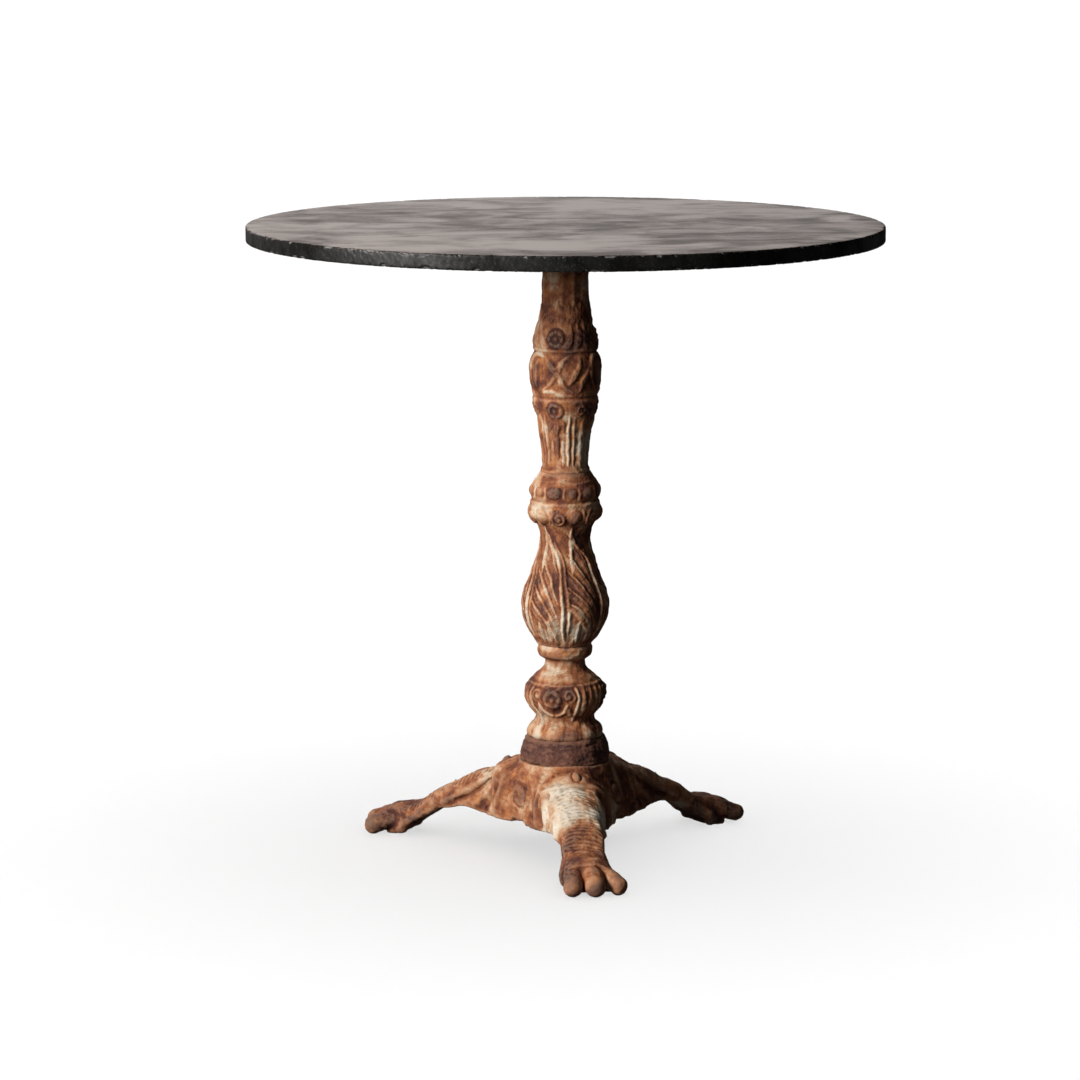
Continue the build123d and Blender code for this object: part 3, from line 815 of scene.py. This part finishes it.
# ---------------------------------------------------------------- materials
class Shader:
    """A node material with short calls for the nodes used here."""

    def __init__(self, name):
        self.material = bpy.data.materials.new(name)
        self.material.use_nodes = True
        self.tree = self.material.node_tree
        self.surface = self.tree.nodes["Principled BSDF"]
        self.place = self.add("ShaderNodeTexCoord").outputs["Object"]

    def add(self, kind, inputs=(), **settings):
        node = self.tree.nodes.new(kind)
        for key, value in settings.items():
            setattr(node, key, value)
        for key, value in dict(inputs).items():
            self.put(node.inputs[key], value)
        return node

    def put(self, socket, value):
        if isinstance(value, bpy.types.NodeSocket):
            self.tree.links.new(value, socket)
        else:
            socket.default_value = value

    def stretch(self, *scale):
        return self.add("ShaderNodeMapping", {"Vector": self.place, "Scale": scale}).outputs[0]

    def noise(self, size, detail=5.0, rough=0.6, bend=0.0, place=None, shift=0.0):
        """Noise about 0.5, with lumps about `size` metres across."""
        node = self.add(
            "ShaderNodeTexNoise",
            {
                "Vector": place or self.place, "W": shift, "Scale": 1 / size, "Detail": detail,
                "Roughness": rough, "Distortion": bend,
            },
            noise_dimensions="4D",
        )
        return node.outputs["Fac"]

    def value(self, name):
        return self.add("ShaderNodeAttribute", attribute_name=name).outputs["Fac"]

    def sum(self, *terms):
        """The sum of (socket, factor) pairs and plain numbers."""
        total = sum(t for t in terms if not isinstance(t, tuple))
        for socket, factor in (t for t in terms if isinstance(t, tuple)):
            node = self.add(
                "ShaderNodeMath", {0: socket, 1: factor, 2: total}, operation="MULTIPLY_ADD"
            )
            total = node.outputs[0]
        return total

    def step(self, value, low, high):
        node = self.add(
            "ShaderNodeMapRange", {"Value": value, "From Min": low, "From Max": high},
            interpolation_type="SMOOTHSTEP",
        )
        return node.outputs["Result"]

    def mix(self, share, a, b):
        node = self.add("ShaderNodeMix", data_type="RGBA")
        colours = [c for c in node.inputs if c.type == "RGBA"]
        self.put(node.inputs["Factor"], share)
        for socket, colour in zip(colours, (a, b)):
            self.put(socket, colour if isinstance(colour, bpy.types.NodeSocket) else (*colour, 1))
        return [o for o in node.outputs if o.type == "RGBA"][0]

    def ramp(self, value, *stops):
        """A colour that changes evenly between (value, colour) stops."""
        node = self.add("ShaderNodeValToRGB", {"Fac": value})
        points = node.color_ramp.elements
        for spare in list(points)[:-1]:
            points.remove(spare)
        points[0].position, points[0].color = stops[0][0], (*stops[0][1], 1)
        for place, colour in stops[1:]:
            points.new(place).color = (*colour, 1)
        return node.outputs["Color"]

    def bump(self, *layers):
        """Bump from (height socket, depth in metres) pairs."""
        normal = None
        for height, depth in layers:
            inputs = {"Height": height, "Distance": depth, "Strength": 1.0}
            if normal:
                inputs["Normal"] = normal
            normal = self.add("ShaderNodeBump", inputs).outputs[0]
        self.put(self.surface.inputs["Normal"], normal)

    def finish(self, colour, roughness, **plain):
        self.put(self.surface.inputs["Base Color"], colour)
        self.put(self.surface.inputs["Roughness"], roughness)
        for key, value in plain.items():
            self.surface.inputs[key.replace("_", " ")].default_value = value
        return self.material


def worn_paint(name, bias, shift):
    """Old off-white paint, worn and stained through tan and orange to dark brown rust."""
    s = Shader(name)
    ridge, rust = s.value("ridge"), s.value("rust")
    patches = s.noise(0.042, 9, 0.58, 0.6, shift=shift)
    streaks = s.noise(0.016, 6, 0.6, 0.4, s.stretch(1, 1, 0.38), shift + 1)
    flecks = s.noise(0.0065, 5, 0.62, 0.3, shift=shift + 2)
    specks = s.noise(0.0021, 3, 0.6, shift=shift + 3)
    wear = s.sum(
        (patches, 1.0), (streaks, 0.42), (flecks, 0.22), (specks, 0.08), (ridge, 0.02),
        (rust, -0.13), bias - 0.36,
    )
    colour = s.ramp(
        wear,
        (0.28, (0.060, 0.021, 0.016)), (0.38, (0.130, 0.042, 0.025)), (0.46, (0.27, 0.092, 0.040)),
        (0.52, (0.40, 0.170, 0.078)), (0.58, (0.52, 0.315, 0.190)), (0.66, (0.62, 0.50, 0.375)),
        (0.80, (0.68, 0.61, 0.510)),
    )
    # fresh orange rust in some of the brown
    orange = s.noise(0.019, 6, 0.66, 0.5, shift=shift + 5)
    band = s.add(
        "ShaderNodeMath", {0: s.step(wear, 0.34, 0.44), 1: s.step(wear, 0.58, 0.50)},
        operation="MULTIPLY",
    ).outputs[0]
    fresh = s.add(
        "ShaderNodeMath", {0: band, 1: s.step(orange, 0.52, 0.66)}, operation="MULTIPLY"
    ).outputs[0]
    colour = s.mix(s.sum((fresh, 0.75)), colour, (0.47, 0.175, 0.05))
    # small sharp chips and pits
    chip = s.step(s.sum((flecks, 0.6), (specks, 0.6), (patches, -0.25)), 0.535, 0.575)
    colour = s.mix(s.sum((chip, 0.5)), colour, (0.20, 0.075, 0.038))
    # Painted shade with dirt: the creases, found from the ridge attribute, are darkened towards dark
    # rust-brown.
    hollow = s.step(ridge, 0.1, -0.75)
    colour = s.mix(s.sum((hollow, 0.34)), colour, (0.070, 0.027, 0.018))
    # Painted highlight: the crests, found from the ridge attribute, are lightened towards pale tan.
    crest = s.step(ridge, 0.25, 0.95)
    colour = s.mix(s.sum((crest, 0.18)), colour, (0.60, 0.43, 0.30))
    s.bump((specks, 0.0005), (flecks, 0.0009), (chip, -0.0003), (patches, 0.0012))
    rough = s.sum((s.step(wear, 0.45, 0.62), -0.20), (flecks, 0.25), 0.62)
    return s.finish(colour, rough, Specular_IOR_Level=0.22)


def scaled_rust(name, shift):
    """Bare cast iron under dark, scaly rust."""
    s = Shader(name)
    scale = s.noise(0.016, 7, 0.65, 0.6, s.stretch(1, 1, 1.4), shift)
    grain = s.noise(0.0035, 5, 0.7, shift=shift + 1)
    pits = s.noise(0.0012, 2, 0.5, shift=shift + 2)
    mottle = s.sum((scale, 0.7), (grain, 0.4), -0.05)
    colour = s.mix(s.step(mottle, 0.36, 0.58), (0.042, 0.017, 0.014), (0.125, 0.049, 0.034))
    colour = s.mix(s.step(mottle, 0.56, 0.72), colour, (0.33, 0.145, 0.085))
    ridge = s.value("ridge")
    # Painted highlight: the crests of the scale are lightened towards pale rust.
    colour = s.mix(s.sum((s.step(ridge, 0.3, 1.0), 0.30)), colour, (0.36, 0.19, 0.12))
    s.bump((scale, 0.0010), (grain, 0.0007), (pits, 0.0003))
    return s.finish(colour, s.sum((grain, 0.25), 0.66), Specular_IOR_Level=0.3)


def honed_stone(name):
    """Dark honed stone: cloudy and worn on top, speckled and chipped at the edge."""
    s = Shader(name)
    clouds = s.noise(0.085, 7, 0.58, 0.7, s.stretch(1, 1.5, 1), 1.0)
    haze = s.noise(0.30, 4, 0.5, 0.3, s.stretch(0.7, 1.4, 1), 2.0)
    speck = s.noise(0.0028, 3, 0.6, shift=3.0)
    dots = s.noise(0.0013, 2, 0.5, shift=4.0)
    tone = s.sum((clouds, 0.55), (haze, 0.45), (speck, 0.12), -0.06)
    top = s.mix(s.step(tone, 0.40, 0.60), (0.085, 0.064, 0.058), (0.300, 0.243, 0.222))
    flecks = s.step(s.sum((speck, 0.6), (dots, 0.5)), 0.62, 0.74)
    # Painted shade: the edge gets a near-black colour of its own, far darker than the flat faces of the
    # same stone, over the stone's dark colour.
    edge = s.mix(
        s.step(s.noise(0.02, 5, 0.6, shift=6.0), 0.4, 0.62),
        (0.005, 0.0050, 0.0046), (0.011, 0.0110, 0.0105),
    )
    edge = s.mix(s.sum((flecks, 0.55)), edge, (0.08, 0.082, 0.08))
    normal = s.add("ShaderNodeNewGeometry").outputs["Normal"]
    up = s.add("ShaderNodeSeparateXYZ", {"Vector": normal}).outputs["Z"]
    flat = s.step(s.add("ShaderNodeMath", {0: up}, operation="ABSOLUTE").outputs[0], 0.62, 0.97)
    # The flat faces take the cloudy top colour; the rounded edge takes the near-black colour with its
    # painted shade.
    colour = s.mix(flat, edge, top)
    chip = s.value("chip")
    colour = s.mix(s.step(s.sum((chip, 1.0), (dots, 0.6)), 0.76, 1.0), colour, (0.13, 0.125, 0.12))
    s.bump((speck, 0.00012), (dots, 0.00007), (clouds, 0.0003))
    polish = s.step(tone, 0.40, 0.60)
    rough = s.sum((polish, -0.11), (speck, 0.08), (flat, 0.01), 0.50)
    s.put(s.surface.inputs["Specular IOR Level"], s.sum((flat, 0.15), (polish, 0.42), 0.05))
    return s.finish(colour, rough)


def plated_steel(name, shift):
    """Zinc-plated steel gone dull, with rust freckles."""
    s = Shader(name)
    cloud = s.noise(0.006, 6, 0.65, shift=shift)
    grain = s.noise(0.0008, 3, 0.6, shift=shift + 1)
    freckle = s.step(s.sum((cloud, 0.8), (grain, 0.35)), 0.60, 0.72)
    colour = s.mix(s.step(cloud, 0.35, 0.65), (0.30, 0.285, 0.26), (0.47, 0.46, 0.43))
    colour = s.mix(freckle, colour, (0.16, 0.07, 0.035))
    s.bump((cloud, 0.0003), (grain, 0.0001))
    s.put(s.surface.inputs["Metallic"], s.sum((freckle, -0.9), 0.9))
    return s.finish(colour, s.sum((freckle, 0.35), (grain, 0.2), 0.34))


def turned_brass(name):
    """Brass with fine turning marks and a brown tarnish."""
    s = Shader(name)
    marks = s.noise(0.0005, 3, 0.6, 0, s.stretch(0.05, 0.05, 1))
    tarnish = s.noise(0.004, 5, 0.6, shift=3)
    colour = s.mix(s.step(tarnish, 0.4, 0.65), (0.36, 0.22, 0.08), (0.68, 0.49, 0.2))
    s.bump((marks, 0.00005), (tarnish, 0.0001))
    return s.finish(colour, s.sum((tarnish, 0.25), 0.22), Metallic=0.95)


def pad_rubber(name):
    """Black rubber, dusty and slightly grained."""
    s = Shader(name)
    dust = s.noise(0.01, 5, 0.6)
    grain = s.noise(0.0006, 3, 0.6, shift=2)
    colour = s.mix(s.step(dust, 0.4, 0.7), (0.018, 0.018, 0.018), (0.06, 0.057, 0.052))
    s.bump((grain, 0.00012), (dust, 0.0002))
    return s.finish(colour, s.sum((dust, 0.2), 0.7), Specular_IOR_Level=0.3)


# ---------------------------------------------------------------- the pieces
add_piece("column_shaft_relief", column_shaft(), worn_paint("paint_shaft", 0.0, 0.0),
          "shaft_iron", "column_shaft")
add_piece("column_baluster_relief", column_baluster(), worn_paint("paint_baluster", 0.02, 10.0),
          "baluster_iron", "column_baluster")
add_piece("column_vase_relief", column_vase(), worn_paint("paint_vase", -0.035, 20.0),
          "vase_iron", "column_vase")
add_piece("base_collar_rough", base_collar(), scaled_rust("rust_collar", 30.0),
          "collar_iron", "base_collar")
add_piece("tripod_base_relief", tripod_base(), worn_paint("paint_base", 0.03, 40.0),
          "base_iron", "tripod_base")
add_piece("table_top_slab", table_top(), honed_stone("stone_top"), "honed_stone", "table_top")

steel = plated_steel("steel_fastenings", 50.0)
kept = {
    "top_spider": scaled_rust("rust_spider", 60.0),
    "top_inserts": turned_brass("brass_inserts"),
    "top_pads": pad_rubber("rubber_pads"),
}
for node in ("top_screws", "top_screw_washers", "tie_rod"):
    kept[node] = steel
for end in ("top", "bottom"):
    kept[f"tie_rod_{end}_washer"] = steel
    kept[f"tie_rod_{end}_nut"] = steel
for node, material in kept.items():
    slots = frame["nodes"][node].data.materials
    slots.clear()
    slots.append(material)


# ---------------------------------------------------------------- stage, light and camera
scene = bpy.context.scene
scene.view_settings.view_transform = "Standard"

floor_mesh = bpy.data.meshes.new("floor")
shape = bmesh.new()
corners = [shape.verts.new((x, y, 0)) for x, y in ((-60, -20), (60, -20), (60, 90), (-60, 90))]
shape.faces.new(corners)
shape.to_mesh(floor_mesh)
shape.free()
floor = bpy.data.objects.new("floor", floor_mesh)
scene.collection.objects.link(floor)
floor_shader = Shader("floor_pale")
floor_mesh.materials.append(floor_shader.finish((0.8, 0.8, 0.8, 1), 0.9, Specular_IOR_Level=0.0))
floor.visible_diffuse = False
floor.visible_glossy = False

CAMERA_AZIMUTH = -7.0  # degrees from looking along +Y, towards -X
CAMERA_DISTANCE = 4.9
CAMERA_HEIGHT = 1.205
CAMERA_PITCH = 9.63
CAMERA_YAW = 0.35  # puts the column a little right of the frame's middle
MIDDLE = 0.45  # height that the lights are placed about
camera_data = bpy.data.cameras.new("camera")
camera_data.lens = 139.3
camera_data.sensor_width = 36
camera_data.clip_end = 200
camera = bpy.data.objects.new("camera", camera_data)
scene.collection.objects.link(camera)
around = math.radians(CAMERA_AZIMUTH)
camera.location = (
    CAMERA_DISTANCE * math.sin(around), -CAMERA_DISTANCE * math.cos(around), CAMERA_HEIGHT
)
camera.rotation_euler = (
    math.radians(90 - CAMERA_PITCH), 0, around + math.radians(CAMERA_YAW)
)
scene.camera = camera


def add_area(name, place, level, size, power, colour=(1, 1, 1)):
    """An area light that points at the table's axis, at a height."""
    data = bpy.data.lights.new(name, "AREA")
    data.shape = "RECTANGLE"
    data.size, data.size_y = size
    data.energy = power
    data.color = colour
    lamp = bpy.data.objects.new(name, data)
    lamp.location = place
    way = Vector((0, 0, level)) - Vector(place)
    lamp.rotation_euler = way.to_track_quat("-Z", "Y").to_euler()
    scene.collection.objects.link(lamp)
    return lamp


def bearing(degrees, elevation, distance):
    """A place seen from the table, at an angle right of the camera."""
    a = math.radians(CAMERA_AZIMUTH - 90 + degrees)
    e = math.radians(elevation)
    return (
        distance * math.cos(a) * math.cos(e), distance * math.sin(a) * math.cos(e),
        MIDDLE + distance * math.sin(e),
    )


key = add_area("key", bearing(-50, 20, 3.0), MIDDLE, (0.9, 1.1), 140, (1, 0.97, 0.93))
fill = add_area("fill", bearing(20, 15, 5.0), MIDDLE, (2.5, 2.5), 5)
sheen = add_area("sheen", bearing(200, 17, 7.0), STONE_TOP * MM, (8, 3.5), 130, (1, 0.95, 0.92))
sheen.visible_diffuse = False
back = add_area("back", bearing(-165, 25, 4.0), MIDDLE, (2.0, 2.0), 60)
back.visible_glossy = False
overhead = bpy.data.objects.new("overhead", bpy.data.lights.new("overhead", "SUN"))
overhead.data.energy = 1.1
overhead.data.angle = math.radians(170)
scene.collection.objects.link(overhead)
stage_only = bpy.data.collections.new("stage_only")
stage_only.objects.link(floor)
overhead.light_linking.receiver_collection = stage_only
table_only = bpy.data.collections.new("table_only")
for thing in scene.objects:
    if thing.type == "MESH" and thing != floor:
        table_only.objects.link(thing)
for lamp in (key, fill, sheen, back):
    lamp.light_linking.receiver_collection = table_only
# Most of the floor's light is open, so the shadow under the feet stays faint.
skylight = bpy.data.objects.new("skylight", overhead.data.copy())
skylight.data.energy = 3.0
scene.collection.objects.link(skylight)
skylight.light_linking.receiver_collection = stage_only
skylight.light_linking.blocker_collection = stage_only
feet_only = bpy.data.collections.new("feet_only")
feet_only.objects.link(bpy.data.objects["tripod_base_relief"])
overhead.light_linking.blocker_collection = feet_only

world = bpy.data.worlds.new("studio")
scene.world = world
world.use_nodes = True
world.node_tree.nodes["Background"].inputs["Color"].default_value = (1, 1, 1, 1)
world.node_tree.nodes["Background"].inputs["Strength"].default_value = 0.035
